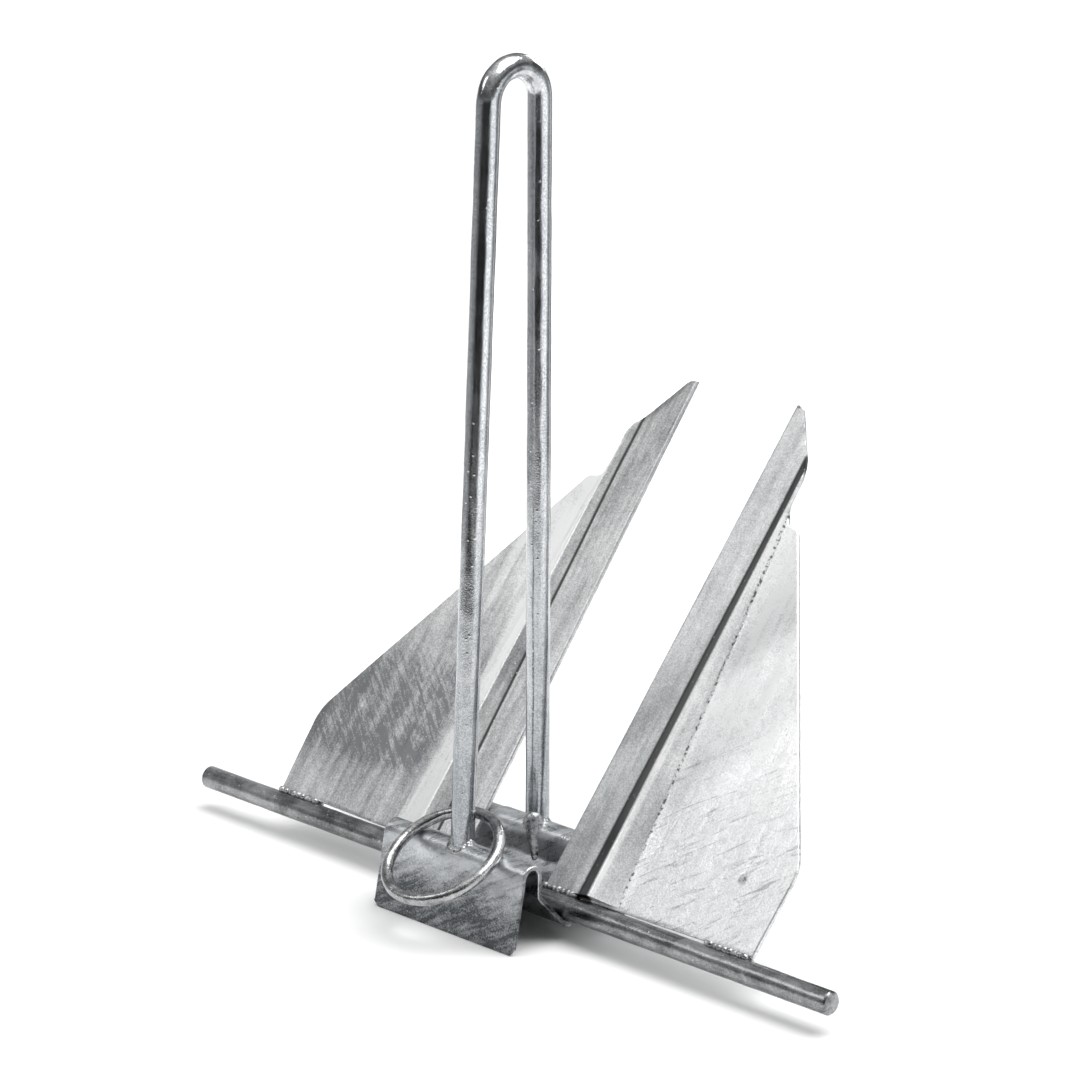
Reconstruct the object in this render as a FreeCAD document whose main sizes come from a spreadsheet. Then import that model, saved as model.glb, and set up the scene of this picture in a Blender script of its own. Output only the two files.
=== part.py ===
import FreeCAD, Part
import os
from math import asin, atan2, cos, degrees, hypot, radians, sin

import Sketcher

# Fluke anchor with a slip ring, hot-dip galvanised steel, 13 lb class.
# It stands on its two palms with the shank upright.
# X runs along the stock, +Y is the side the flukes lean to, and +Z is up the shank.
# Z = 0 is the palms' lower edge, and X = Y = 0 is the middle of the bounding box.
# Heights and offsets below are taken from the stock's centre line unless a comment says otherwise.

DRIVING = {
    # round bar and sheet
    "RodDia": 16.0,          # stock and shank are the same bar
    "SheetThk": 3.2,         # crown and flukes
    "WireDia": 8.0,          # slip ring
    # stock
    "StockLen": 590.0,
    "StockChamfer": 1.2,
    "StockY": -68.55,        # the stock's line in the part's own frame
    "StockZ": 21.0,
    # shank: a hairpin whose two legs stand on the crown's ridges
    "FootY": 34.5,           # half the distance between the feet
    "FootZ": 28.5,
    "BendZ": 521.0,          # centre of the top bend
    "BendRad": 22.5,         # of the bar's centre line
    # crown: one sheet folded to an M, with a palm outside each ridge
    "CrownLen": 132.0,
    "RidgeZ": 27.9,          # centre of the ridge's arc
    "RidgeRad": 7.0,         # middle of the sheet
    "TroughRad": 10.0,       # middle of the sheet round the stock
    "ElbowRad": 6.0,         # bend between wall and ramp, middle of the sheet
    "PalmLean": 10.0,
    "PalmCut": 4.0,          # clipped corners
    # flukes: x is taken from the middle of the stock, height along the fluke from the stock's line
    "FlukeLean": 37.3,       # back from the shank, resting on the far ridge
    "FlukeFoot": 8.0,
    "InnerLow": 39.0,
    "InnerTip": 46.0,
    "TipHigh": 373.5,
    "TipOut": 52.5,
    "ShoulderX": 82.5,
    "ShoulderHigh": 327.5,
    "NeckHigh": 301.0,
    "NotchX": 87.5,
    "NotchHigh": 290.0,
    "WingTopX": 97.5,
    "WingTopHigh": 288.0,
    "WingX": 226.0,
    "WingHigh": 72.0,
    "WingFootX": 223.0,
    # the pressed rib along each fluke
    "GrooveLowX": 69.5,
    "GrooveTopX": 75.0,
    "CrestX": 82.5,
    "CreaseLowX": 105.0,
    "CreaseTopX": 84.5,
    "RibLow": 7.0,
    "RibTop": 3.5,
    "SheetRoom": 5.0,        # spare sheet that the outline cuts away
    "WasteRoom": 60.0,       # the waste reaches this far past the outline
    "TipDrop": 1.0,          # the tip's outer corner sits this much lower
    # slip ring, lying on the near ridge with the near leg through it
    "RingRad": 39.5,         # middle of the wire
    "RingLean": 32.0,
    "RingX": 1.5,
    "RingY": -53.0,
    "RingZ": 31.6,
    # welds
    "BeadRad": 4.6,
    "InnerBeadX": 41.0,
    "InnerBeadLen": 27.0,
    "OuterBeadX": 186.0,
    "OuterBeadLen": 34.0,
    "CollarLow": 10.6,
    "CollarTop": 8.4,
    "CollarHigh": 9.5,
    "CollarLift": 3.0,       # above the ridge's centre
}

RAMP = 45.0                  # slope of the crown's ramps, in degrees
TOUCH = 0.01                 # points closer than this are the same point, in mm
ALONG_X = FreeCAD.Vector(1, 0, 0)
ALONG_Z = FreeCAD.Vector(0, 0, 1)

doc = FreeCAD.newDocument("fluke_anchor")
sheet = doc.addObject("Spreadsheet::Sheet", "Sheet")
for row, (alias, value) in enumerate(DRIVING.items(), start=1):
    sheet.set(f"A{row}", alias)
    sheet.set(f"B{row}", str(value))
    sheet.setAlias(f"B{row}", alias)
doc.recompute()


def cell(alias):
    """The number that the sheet holds for an alias."""
    return float(sheet.get(alias))


def plane(body, role):
    """One of a body's own origin planes."""
    return next(item for item in body.Origin.OriginFeatures if item.Role == role)


def bind(item, **expressions):
    """Bind properties to the sheet; a double underscore stands for a dot."""
    for name, expression in expressions.items():
        item.setExpression(name.replace("__", "."), expression)


def place(item, x="0", y="Sheet.StockY", z="Sheet.StockZ"):
    """Put an item at a point of the part's frame."""
    bind(item, Placement__Base__x=x, Placement__Base__y=y, Placement__Base__z=z)


def new_body(label):
    """A PartDesign body that stands at the stock's line."""
    body = doc.addObject("PartDesign::Body", label + "_body")
    body.Label = label
    place(body)
    return body


def new_sketch(body, name, role, offset=None):
    """A sketch on one of the body's planes, lifted along the plane's normal by offset."""
    sketch = body.newObject("Sketcher::SketchObject", name)
    sketch.AttachmentSupport = [(plane(body, role), "")]
    sketch.MapMode = "FlatFace"
    if offset:
        bind(sketch, AttachmentOffset__Base__z=offset)
    return sketch


def evaluate(expression):
    """The value of a sheet expression, used for a sketch's first guess."""
    return float(sheet.evalExpression(expression))


def fix_point(sketch, index, end, across, up):
    """Hold a point of the sketch at two sheet expressions."""
    for kind, expression in (("DistanceX", across), ("DistanceY", up)):
        number = sketch.addConstraint(
            Sketcher.Constraint(kind, -1, 1, index, end, evaluate(expression)))
        sketch.setExpression(f"Constraints[{number}]", expression)


def add_outline(sketch, corners):
    """A closed outline of straight lines, every corner held by two sheet expressions."""
    points = [FreeCAD.Vector(evaluate(a), evaluate(b), 0) for a, b in corners]
    first = sketch.GeometryCount
    for start, end in zip(points, points[1:] + points[:1]):
        sketch.addGeometry(Part.LineSegment(start, end), False)
    for step, (across, up) in enumerate(corners):
        following = first + (step + 1) % len(corners)
        sketch.addConstraint(
            Sketcher.Constraint("Coincident", first + step, 2, following, 1))
        fix_point(sketch, first + step, 1, across, up)


def hold(sketch, kind, index, expression, number=None):
    """Hold a size of one item of the sketch at a sheet expression."""
    guess = evaluate(expression) if number is None else number
    constraint = sketch.addConstraint(Sketcher.Constraint(kind, index, guess))
    sketch.setExpression(f"Constraints[{constraint}]", expression)


def add_bar_section(sketch):
    """The bar's circle round the sketch's origin."""
    circle = sketch.addGeometry(
        Part.Circle(FreeCAD.Vector(), ALONG_Z, cell("RodDia") / 2), False)
    sketch.addConstraint(Sketcher.Constraint("Coincident", circle, 3, -1, 1))
    hold(sketch, "Diameter", circle, "Sheet.RodDia")


def make_stock():
    body = new_body("stock")
    sketch = new_sketch(body, "stock_section", "YZ_Plane")
    add_bar_section(sketch)
    pad = body.newObject("PartDesign::Pad", "stock_bar")
    pad.Profile = sketch
    pad.Midplane = True
    bind(pad, Length="Sheet.StockLen")
    doc.recompute()
    ends = [f"Edge{n}" for n, edge in enumerate(pad.Shape.Edges, start=1)
            if isinstance(edge.Curve, Part.Circle)]
    chamfer = body.newObject("PartDesign::Chamfer", "stock_ends")
    chamfer.Base = (pad, ends)
    bind(chamfer, Size="Sheet.StockChamfer")
    return body


def make_shank():
    """The hairpin: two legs and a bend swept in one pass, then notched to sit on the ridges."""
    body = new_body("shank")
    path = add_hairpin(body)
    section = body.newObject("Sketcher::SketchObject", "shank_section")
    section.AttachmentSupport = [(path, "Edge1")]
    section.MapMode = "NormalToEdge"
    section.MapPathParameter = 0.0
    add_bar_section(section)
    doc.recompute()
    pipe = body.newObject("PartDesign::AdditivePipe", "shank_bar")
    pipe.Profile = section
    pipe.Spine = path
    doc.recompute()
    whole = pipe.Shape.Volume
    saddle = body.newObject("PartDesign::Pocket", "shank_saddles")
    saddle.Profile = add_saddles(body)
    saddle.Midplane = True
    bind(saddle, Length="2 * Sheet.RodDia")
    doc.recompute()
    if saddle.Shape.Volume >= whole:
        raise RuntimeError("the shank's saddles cut nothing")
    return body


def leg_splay():
    """How far each leg leans towards the other, in radians."""
    rise = cell("BendZ") - cell("FootZ")
    return atan2(cell("FootY"), rise) - asin(cell("BendRad") / hypot(cell("FootY"), rise))


def add_hairpin(body):
    """The bar's centre line: near leg, bend, far leg."""
    foot_y, foot_z = cell("FootY"), cell("FootZ")
    bend_z, bend_rad = cell("BendZ"), cell("BendRad")
    splay = leg_splay()
    join_y, join_z = bend_rad * cos(splay), bend_z + bend_rad * sin(splay)
    path = new_sketch(body, "shank_path", "YZ_Plane")
    feet = [FreeCAD.Vector(side * foot_y, foot_z, 0) for side in (-1, 1)]
    joins = [FreeCAD.Vector(side * join_y, join_z, 0) for side in (-1, 1)]
    near = path.addGeometry(Part.LineSegment(feet[0], joins[0]), False)
    crest = FreeCAD.Vector(0, bend_z + bend_rad, 0)
    bend = path.addGeometry(Part.Arc(joins[0], crest, joins[1]), False)
    far = path.addGeometry(Part.LineSegment(joins[1], feet[1]), False)
    left_end = 1 if path.getPoint(bend, 1).x < path.getPoint(bend, 2).x else 2
    path.addConstraint(Sketcher.Constraint("Tangent", near, 2, bend, left_end))
    path.addConstraint(Sketcher.Constraint("Tangent", far, 1, bend, 3 - left_end))
    fix_point(path, near, 1, "-Sheet.FootY", "Sheet.FootZ")
    fix_point(path, far, 2, "Sheet.FootY", "Sheet.FootZ")
    fix_point(path, bend, 3, "0", "Sheet.BendZ")
    hold(path, "Radius", bend, "Sheet.BendRad")
    return path


def add_saddles(body):
    """A circle round each ridge, where the feet are cut to sit on it."""
    sketch = new_sketch(body, "shank_notches", "YZ_Plane")
    ridge = "Sheet.RidgeRad + Sheet.SheetThk / 2"
    for side, sign in ((-1, "-"), (1, "")):
        centre = FreeCAD.Vector(side * cell("FootY"), cell("RidgeZ"), 0)
        circle = sketch.addGeometry(Part.Circle(centre, ALONG_Z, evaluate(ridge)), False)
        fix_point(sketch, circle, 3, f"{sign}Sheet.FootY", "Sheet.RidgeZ")
        hold(sketch, "Radius", circle, ridge)
    return sketch


def crown_line(lift):
    """One face of the folded sheet, from the near palm's edge to the far one.

    lift is the distance from the middle of the sheet, positive upwards.
    Each item is ("line", start, end) or ("arc", centre, radius, start, middle, end).
    """
    foot_y, ridge_z = cell("FootY"), cell("RidgeZ")
    ridge = cell("RidgeRad") + lift
    elbow = cell("ElbowRad") - lift
    trough = cell("TroughRad") - lift
    lean = radians(cell("PalmLean"))
    drop = cell("StockZ")
    half = sin(radians(RAMP))
    elbow_y = foot_y - cell("RidgeRad") - cell("ElbowRad")
    elbow_z = elbow_y + (cell("ElbowRad") - cell("TroughRad")) / half

    palm_top = (foot_y + ridge * cos(lean), ridge_z + ridge * sin(lean))
    palm_low = (palm_top[0] + (palm_top[1] + drop) * sin(lean) / cos(lean), -drop)
    wall_top = (foot_y - ridge, ridge_z)
    wall_low = (elbow_y + elbow, elbow_z)
    turn = radians(RAMP / 2)
    elbow_mid = (elbow_y + elbow * cos(turn), elbow_z - elbow * sin(turn))
    ramp_top = (elbow_y + elbow * half, elbow_z - elbow * half)
    ramp_low = (trough * half, -trough * half)
    ridge_mid = (foot_y + ridge * sin(lean / 2), ridge_z + ridge * cos(lean / 2))

    def side(sign):
        def at(point):
            return FreeCAD.Vector(sign * point[0], point[1], 0)
        return [
            ("line", at(palm_low), at(palm_top)),
            ("arc", at((foot_y, ridge_z)), ridge, at(palm_top), at(ridge_mid), at(wall_top)),
            ("line", at(wall_top), at(wall_low)),
            ("arc", at((elbow_y, elbow_z)), elbow, at(wall_low), at(elbow_mid), at(ramp_top)),
            ("line", at(ramp_top), at(ramp_low)),
        ]

    def backwards(item):
        if item[0] == "line":
            return ("line", item[2], item[1])
        return ("arc", item[1], item[2], item[5], item[4], item[3])

    near, far = side(-1), [backwards(item) for item in reversed(side(1))]
    bottom = ("arc", FreeCAD.Vector(), trough, near[-1][2], FreeCAD.Vector(0, -trough, 0), far[0][1])
    return near + [bottom] + far


def add_line(sketch, items):
    """Draw a run of lines and arcs; returns (index, start, end, centre, radius) of each."""
    drawn = []
    for item in items:
        if item[0] == "line":
            index = sketch.addGeometry(Part.LineSegment(item[1], item[2]), False)
            drawn.append((index, 1, 2, None, None))
            continue
        index = sketch.addGeometry(Part.Arc(item[3], item[4], item[5]), False)
        forward = sketch.getPoint(index, 1).distanceToPoint(item[3]) < TOUCH
        start, end = (1, 2) if forward else (2, 1)
        drawn.append((index, start, end, item[1], item[2]))
    for before, after in zip(drawn, drawn[1:]):
        sketch.addConstraint(
            Sketcher.Constraint("Tangent", before[0], before[2], after[0], after[1]))
    return drawn


def make_crown():
    """One sheet folded over both feet's ridges and under the stock."""
    body = new_body("crown")
    sketch = new_sketch(body, "crown_fold", "YZ_Plane")
    upper = add_line(sketch, crown_line(cell("SheetThk") / 2))
    lower = add_line(sketch, crown_line(-cell("SheetThk") / 2))
    for end in (0, -1):
        top, low = upper[end], lower[end]
        tip = 1 if end == 0 else 2
        start = sketch.getPoint(top[0], tip)
        finish = sketch.getPoint(low[0], tip)
        edge = sketch.addGeometry(Part.LineSegment(start, finish), False)
        sketch.addConstraint(Sketcher.Constraint("Coincident", top[0], tip, edge, 1))
        sketch.addConstraint(Sketcher.Constraint("Coincident", low[0], tip, edge, 2))
        sketch.addConstraint(Sketcher.Constraint("Horizontal", edge))
        number = sketch.addConstraint(
            Sketcher.Constraint("DistanceY", -1, 1, edge, 1, -cell("StockZ")))
        sketch.setExpression(f"Constraints[{number}]", "-Sheet.StockZ")
    hold_crown(sketch, upper, "+")
    hold_crown(sketch, lower, "-")
    pad = body.newObject("PartDesign::Pad", "crown_sheet")
    pad.Profile = sketch
    pad.Midplane = True
    bind(pad, Length="Sheet.CrownLen")
    doc.recompute()
    corners = [f"Edge{n}" for n, edge in enumerate(pad.Shape.Edges, start=1) if is_corner(edge)]
    clipped = body.newObject("PartDesign::Chamfer", "crown_corners")
    clipped.Base = (pad, corners)
    bind(clipped, Size="Sheet.PalmCut")
    return body


def is_corner(edge):
    """True for the four short edges across the sheet at the palms' lower corners."""
    box = edge.BoundBox
    at_end = abs(abs(edge.CenterOfMass.x) - cell("CrownLen") / 2) < TOUCH
    at_foot = edge.CenterOfMass.z < TOUCH - cell("StockZ")
    return at_end and at_foot and box.ZLength < TOUCH


def hold_crown(sketch, drawn, sign):
    """Hold the arcs' centres and radii and the palms' and ramps' angles to the sheet."""
    ridge = f"Sheet.RidgeRad {sign} Sheet.SheetThk / 2"
    inward = "-" if sign == "+" else "+"
    elbow = f"Sheet.ElbowRad {inward} Sheet.SheetThk / 2"
    trough = f"Sheet.TroughRad {inward} Sheet.SheetThk / 2"
    for place_in_run, expression in ((1, ridge), (3, elbow), (5, trough), (7, elbow), (9, ridge)):
        index, radius = drawn[place_in_run][0], drawn[place_in_run][4]
        hold(sketch, "Radius", index, expression, radius)
    fix_point(sketch, drawn[1][0], 3, "-Sheet.FootY", "Sheet.RidgeZ")
    fix_point(sketch, drawn[9][0], 3, "Sheet.FootY", "Sheet.RidgeZ")
    fix_point(sketch, drawn[5][0], 3, "0", "0")
    for place_in_run in (2, 8):
        sketch.addConstraint(Sketcher.Constraint("Vertical", drawn[place_in_run][0]))
    slopes = ((0, "90 - Sheet.PalmLean"), (4, f"-{RAMP}"), (6, f"{RAMP}"), (10, "Sheet.PalmLean - 90"))
    for place_in_run, slope in slopes:
        hold(sketch, "Angle", drawn[place_in_run][0], f"({slope}) * 1 deg",
             radians(evaluate(slope)))


def rib_section(groove, crease, height):
    """A fluke's section: flat strip, step up to the crest, slope down to the crease, flat wing."""
    strip, wing = "Sheet.InnerLow - Sheet.SheetRoom", "Sheet.WingX + Sheet.SheetRoom"
    back, front = "Sheet.SheetThk / 2", "-Sheet.SheetThk / 2"
    raised = f" - {height}"
    along = ((strip, ""), (groove, ""), ("Sheet.CrestX", raised), (crease, ""), (wing, ""))
    face = [(x, front + lift) for x, lift in along]
    return face + [(x, back + lift) for x, lift in reversed(along)]


def make_right_fluke():
    """A pressed sheet: lofted along the fluke with its rib, then cut to its outline."""
    body = new_body("right_fluke")
    body.Placement.Rotation = FreeCAD.Rotation(-ALONG_X, cell("FlukeLean"))
    bind(body, Placement__Rotation__Angle="Sheet.FlukeLean * 1 deg")
    low = ("Sheet.GrooveLowX", "Sheet.CreaseLowX", "Sheet.RibLow")
    top = ("Sheet.GrooveTopX", "Sheet.CreaseTopX", "Sheet.RibTop")
    stations = (
        ("fluke_low", "Sheet.FlukeFoot - Sheet.SheetRoom", low),
        ("fluke_mid", "Sheet.NeckHigh", top),
        ("fluke_high", "Sheet.TipHigh + Sheet.SheetRoom", top),
    )
    sections = []
    for name, height, rib in stations:
        sketch = new_sketch(body, name, "XY_Plane", height)
        add_outline(sketch, rib_section(*rib))
        sections.append(sketch)
    loft = body.newObject("PartDesign::AdditiveLoft", "fluke_pressing")
    loft.Profile = sections[0]
    loft.Sections = sections[1:]
    loft.Ruled = True
    doc.recompute()
    whole = loft.Shape.Volume

    waste = new_sketch(body, "fluke_outline", "XZ_Plane")
    side, low = "Sheet.WingX + Sheet.WasteRoom", "Sheet.FlukeFoot - Sheet.WasteRoom"
    high = "Sheet.TipHigh + Sheet.WasteRoom"
    add_outline(waste, [("0", low), (side, low), (side, high), ("0", high)])
    add_outline(waste, [
        ("Sheet.InnerLow", "Sheet.FlukeFoot"), ("Sheet.InnerTip", "Sheet.TipHigh"),
        ("Sheet.TipOut", "Sheet.TipHigh - Sheet.TipDrop"), ("Sheet.ShoulderX", "Sheet.ShoulderHigh"),
        ("Sheet.ShoulderX", "Sheet.NeckHigh"), ("Sheet.NotchX", "Sheet.NotchHigh"),
        ("Sheet.WingTopX", "Sheet.WingTopHigh"), ("Sheet.WingX", "Sheet.WingHigh"),
        ("Sheet.WingFootX", "Sheet.FlukeFoot"),
    ])
    cut = body.newObject("PartDesign::Pocket", "fluke_cut")
    cut.Profile = waste
    cut.Midplane = True
    bind(cut, Length="Sheet.WasteRoom")
    doc.recompute()
    if cut.Shape.Volume >= whole:
        raise RuntimeError("the fluke's outline cuts nothing")
    return body


def mirrored(item, label):
    """The same piece on the other side of the middle plane."""
    mirror = doc.addObject("Part::Mirroring", label + "_mirror")
    mirror.Source = item
    mirror.Base = FreeCAD.Vector()
    mirror.Normal = ALONG_X
    mirror.Label = label
    return mirror


def cut_away(blank, tools, label):
    """What is left of a blank once each tool is taken from it."""
    left = blank
    for number, tool in enumerate(tools):
        cut = doc.addObject("Part::Cut", f"{label}_cut{number}")
        cut.Base = left
        cut.Tool = tool
        left = cut
    left.Label = label
    return left


def make_fluke_weld(label, start, length, stock, fluke):
    """Beads on both faces of a fluke's foot, where it meets the stock."""
    bar = doc.addObject("Part::Cylinder", label + "_bar")
    bar.Placement.Rotation = FreeCAD.Rotation(ALONG_Z, ALONG_X)
    bind(bar, Radius="Sheet.BeadRad", Height=length)
    place(bar, start, "Sheet.StockY + Sheet.FlukeFoot * sin(Sheet.FlukeLean * 1 deg)",
          "Sheet.StockZ + Sheet.FlukeFoot * cos(Sheet.FlukeLean * 1 deg)")
    return cut_away(bar, (stock, fluke), label)


def make_shank_weld(label, side, shank, crown):
    """A collar of weld round a foot of the shank, on top of its ridge."""
    ridge_y = f"Sheet.StockY {side} Sheet.FootY"
    collar = doc.addObject("Part::Cone", label + "_collar")
    bind(collar, Radius1="Sheet.CollarLow", Radius2="Sheet.CollarTop", Height="Sheet.CollarHigh")
    place(collar, "0", ridge_y, "Sheet.StockZ + Sheet.RidgeZ + Sheet.CollarLift")
    hollow = doc.addObject("Part::Cylinder", label + "_hollow")
    hollow.Placement.Rotation = FreeCAD.Rotation(ALONG_Z, ALONG_X)
    bind(hollow, Radius="Sheet.RidgeRad", Height="Sheet.CrownLen")
    place(hollow, "-Sheet.CrownLen / 2", ridge_y, "Sheet.StockZ + Sheet.RidgeZ")
    return cut_away(collar, (shank, crown, hollow), label)


def make_slip_ring():
    ring = doc.addObject("Part::Torus", "ring_torus")
    ring.Label = "slip_ring"
    ring.Placement.Rotation = FreeCAD.Rotation(ALONG_X, cell("RingLean"))
    bind(ring, Radius1="Sheet.RingRad", Radius2="Sheet.WireDia / 2",
         Placement__Rotation__Angle="Sheet.RingLean * 1 deg")
    place(ring, "Sheet.RingX", "Sheet.StockY + Sheet.RingY", "Sheet.StockZ + Sheet.RingZ")
    return ring


def check_document():
    for item in doc.Objects:
        wrong = [word for word in item.State if word in ("Invalid", "Error")]
        if wrong:
            raise RuntimeError(f"{item.Label}: {wrong}")


def export(pieces):
    os.makedirs("parts", exist_ok=True)
    for piece in pieces:
        shape = piece.Shape
        if shape.isNull() or not shape.isValid() or not shape.Solids:
            raise RuntimeError(f"{piece.Label}: no valid solid")
        shape.exportStep(f"parts/{piece.Label}.step")
        print(f"{piece.Label}: {len(shape.Solids)} solids, {shape.Volume / 1000:.1f} cm3")


def main():
    stock = make_stock()
    shank = make_shank()
    crown = make_crown()
    right = make_right_fluke()
    left = mirrored(right, "left_fluke")
    right_inner = make_fluke_weld("right_inner_weld", "Sheet.InnerBeadX", "Sheet.InnerBeadLen",
                                  stock, right)
    right_outer = make_fluke_weld("right_outer_weld", "Sheet.OuterBeadX", "Sheet.OuterBeadLen",
                                  stock, right)
    pieces = [
        stock, shank, crown, right, left, right_inner, right_outer,
        mirrored(right_inner, "left_inner_weld"),
        mirrored(right_outer, "left_outer_weld"),
        make_shank_weld("near_shank_weld", "-", shank, crown),
        make_shank_weld("far_shank_weld", "+", shank, crown),
        make_slip_ring(),
    ]
    doc.recompute()
    check_document()
    export(pieces)
    print(f"the legs lean {degrees(leg_splay()):.3f} degrees towards each other")
    return pieces


main()
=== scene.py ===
from math import atan2, cos, pi, radians, sin

import bmesh
import bpy
from mathutils import Matrix, Vector, noise


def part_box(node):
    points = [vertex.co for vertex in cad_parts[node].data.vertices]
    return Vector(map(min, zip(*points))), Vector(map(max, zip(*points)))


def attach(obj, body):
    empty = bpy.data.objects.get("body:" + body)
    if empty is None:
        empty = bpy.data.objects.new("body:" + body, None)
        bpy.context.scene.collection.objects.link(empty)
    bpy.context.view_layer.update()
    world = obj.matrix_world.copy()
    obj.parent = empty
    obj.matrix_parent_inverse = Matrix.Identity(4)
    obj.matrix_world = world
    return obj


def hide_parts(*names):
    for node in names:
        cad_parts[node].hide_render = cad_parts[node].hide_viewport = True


# Looks for a galvanised fluke anchor. Metres, in the frame of the CAD part: X along the
# stock, Y towards the side that the flukes lean to, Z up the shank.

MM = 0.001
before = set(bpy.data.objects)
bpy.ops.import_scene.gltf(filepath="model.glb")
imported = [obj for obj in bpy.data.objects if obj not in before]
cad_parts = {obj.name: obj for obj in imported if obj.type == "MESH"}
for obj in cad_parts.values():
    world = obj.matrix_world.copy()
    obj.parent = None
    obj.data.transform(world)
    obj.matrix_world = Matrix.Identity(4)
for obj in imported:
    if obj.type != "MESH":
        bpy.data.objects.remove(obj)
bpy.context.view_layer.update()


def middle(name):
    low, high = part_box(name)
    return (Vector(low) + Vector(high)) / 2


# sizes of the pieces; heights and offsets are taken from the stock's centre line
STOCK = middle("stock")
STOCK_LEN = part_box("stock")[1][0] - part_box("stock")[0][0]
BAR_RAD = 8 * MM
SHEET = 3.2 * MM
FOOT_Y, FOOT_Z = 34.5 * MM, 28.5 * MM
BEND_Z, BEND_RAD = 521 * MM, 22.5 * MM
CROWN_LEN = 132 * MM
RIDGE_Z, RIDGE_RAD = 27.9 * MM, 7 * MM
TROUGH_RAD, ELBOW_RAD = 10 * MM, 6 * MM
PALM_LEAN, PALM_CUT, PALM_DROP = radians(10), 4 * MM, 21 * MM
LEAN = radians(37.3)     # of the flukes, back from upright
FOOT, INNER_LOW, INNER_TIP, TIP_HIGH = 8 * MM, 39 * MM, 46 * MM, 373.5 * MM
NECK_HIGH = 301 * MM
GROOVE_LOW, GROOVE_TOP, CREST = 69.5 * MM, 75 * MM, 82.5 * MM
CREASE_LOW, CREASE_TOP = 105 * MM, 84.5 * MM
RIB_LOW, RIB_TOP = 7.0 * MM, 3.5 * MM
RING_RAD, WIRE_RAD, RING_LEAN = 39.5 * MM, 4 * MM, radians(32)
RING_AT = STOCK + Vector((1.5, -53, 31.6)) * MM


# ---------------------------------------------------------------- mesh helpers

def wobble(point, scale, seed=0.0):
    """Smooth noise of about -1 to 1 at a point."""
    return noise.noise(Vector(point) / scale + Vector((seed, seed * 0.7, -seed)))


def link_new(name, data):
    """A new object in the scene, holding a mesh, light or camera."""
    item = bpy.data.objects.new(name, data)
    bpy.context.scene.collection.objects.link(item)
    return item


def add_mesh(name, bm):
    mesh = bpy.data.meshes.new(name)
    bm.to_mesh(mesh)
    bm.free()
    return link_new(name, mesh)


def finish_piece(name, bm, body, material, nodes, smooth_angle):
    """Make the object of a piece, and say what it rides on and stands for."""
    bmesh.ops.recalc_face_normals(bm, faces=bm.faces)
    piece = add_mesh(name, bm)
    piece.data.materials.append(material)
    piece.data.shade_smooth()
    piece.data.set_sharp_from_angle(angle=radians(smooth_angle))
    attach(piece, body)
    if nodes:
        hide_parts(*nodes)
    return piece


def skin(bm, rings, closed_ring=True, closed_run=False, caps=False):
    """Faces between rings of vertices, all with the same count."""
    for one, two in zip(rings, rings[1:] + rings[:1] if closed_run else rings[1:]):
        count = len(one)
        for k in range(count if closed_ring else count - 1):
            after = (k + 1) % count
            bm.faces.new((one[k], one[after], two[after], two[k]))
    if caps:
        bm.faces.new(rings[0][::-1])
        bm.faces.new(rings[-1])


def steps_to(start, end, count):
    """Even steps from start, which is left out, to end."""
    return [start + (end - start) * k / count for k in range(1, count + 1)]


def arc(centre, radius, start, end, count):
    """Points (y, z) round an arc, both ends included."""
    return [(centre[0] + radius * cos(start + (end - start) * k / count),
             centre[1] + radius * sin(start + (end - start) * k / count))
            for k in range(count + 1)]


def run(start, end, count):
    """Points (y, z) along a straight run, both ends left out."""
    return list(zip(*(steps_to(one, two, count)[:-1] for one, two in zip(start, end))))


def tube(bm, path, radii, sides, lump, closed=False):
    """A tube round a path of points, capped if open; lump(point) is added to the radius."""
    rings = []
    count = len(path)
    normal = None
    for k, at in enumerate(path):
        before = path[(k - 1) % count] if closed or k else path[0]
        after = path[(k + 1) % count] if closed or k < count - 1 else path[-1]
        along = (after - before).normalized()
        if normal is None:
            normal = along.orthogonal().normalized()
        normal = (normal - along * normal.dot(along)).normalized()
        side = along.cross(normal)
        ring = []
        for s in range(sides):
            turn = 2 * pi * s / sides
            out = normal * cos(turn) + side * sin(turn)
            point = at + out * radii[k]
            ring.append(bm.verts.new(point + out * lump(point)))
        rings.append(ring)
    skin(bm, rings, closed_run=closed, caps=not closed)


def blobs(name, balls, body, node, voxel=0.45):
    """A weld or drip: overlapping balls (centre, radius) melted into one lumpy skin.

    node names the CAD weld that it replaces, or is None for a drip that replaces none.
    """
    bm = bmesh.new()
    for centre, radius in balls:
        bmesh.ops.create_icosphere(
            bm, subdivisions=3, radius=radius, matrix=Matrix.Translation(centre))
    nodes = (node,) if node else ()
    piece = finish_piece(name, bm, body, WELD, nodes, 180)
    melt = piece.modifiers.new("melt", "REMESH")
    melt.mode, melt.voxel_size, melt.use_smooth_shade = "VOXEL", voxel * MM, True
    soften = piece.modifiers.new("soften", "SMOOTH")
    soften.iterations, soften.factor = 4, 0.5
    return piece


# ---------------------------------------------------------------- materials

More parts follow.
